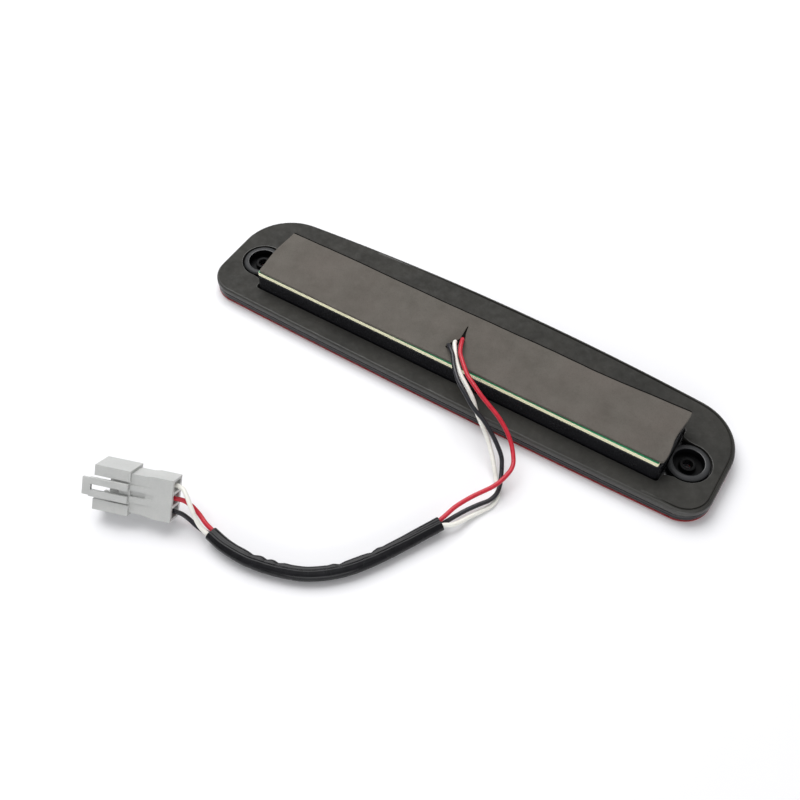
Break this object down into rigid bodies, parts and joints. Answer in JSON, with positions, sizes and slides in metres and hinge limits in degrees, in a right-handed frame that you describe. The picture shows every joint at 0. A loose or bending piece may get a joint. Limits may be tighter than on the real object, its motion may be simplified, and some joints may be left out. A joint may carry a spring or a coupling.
{
  "type": "third brake light",
  "caption": "High-level LED brake light with a bowed red lens, black housing, gasket, foam pad and a sleeved wire tail ending in a latching connector.",
  "frame": {"origin": "bottom centre of the lamp body, on the outer face of the lens, with the wire tail left out", "axes": "+Z from the lens towards the foam pad, +X along the lamp, -Y towards the straight long edge that the wires cross"},
  "size_m": [0.21, 0.1549, 0.0198],
  "materials": {
    "red_lens": "polished, transparent red",
    "black_housing": "satin-gloss moulded",
    "gasket_rubber": "matt moulded rubber",
    "chromed_reflector": "vacuum metallised",
    "board": "green solder mask with a pale cut edge",
    "foam": "closed-cell foam, matt",
    "led_epoxy": "clear epoxy",
    "chip_body": "moulded",
    "red_insulation": "PVC, soft gloss",
    "white_insulation": "PVC, soft gloss",
    "black_insulation": "PVC, soft gloss",
    "sleeve_pvc": "soft PVC tube, creased",
    "grey_nylon": "fine moulded",
    "tinned_terminal": "tinned brass"
  },
  "bodies": {
    "lamp_and_tail": {"lens": "red_lens", "housing": "black_housing", "gasket": "gasket_rubber", "reflector": "chromed_reflector", "circuit_board": "board", "foam_pad": "foam", "led_01": "led_epoxy", "led_02": "led_epoxy", "led_03": "led_epoxy", "led_04": "led_epoxy", "led_05": "led_epoxy", "led_06": "led_epoxy", "led_07": "led_epoxy", "led_08": "led_epoxy", "led_09": "led_epoxy", "led_10": "led_epoxy", "led_11": "led_epoxy", "led_12": "led_epoxy", "resistor_1": "chip_body", "resistor_2": "chip_body", "resistor_3": "chip_body", "resistor_4": "chip_body", "brake_line_diode": "chip_body", "tail_line_diode": "chip_body", "wire_red": "red_insulation", "wire_white": "white_insulation", "wire_black": "black_insulation", "wire_sleeve": "sleeve_pvc", "connector_housing": "grey_nylon", "terminal_white": "tinned_terminal", "terminal_red": "tinned_terminal", "terminal_black": "tinned_terminal"},
    "latch_arm": {"connector_latch": "grey_nylon"}
  },
  "joints": [
    {"name": "latch_flex", "type": "hinge", "parent": "lamp_and_tail", "child": "latch_arm", "pos_m": [-0.0619, -0.11996, 0.012], "axis": [-0.2014, 0.6019, 0.7727], "range_deg": [0, 6], "stiffness_Nm_per_rad": 0.05}
  ]
}
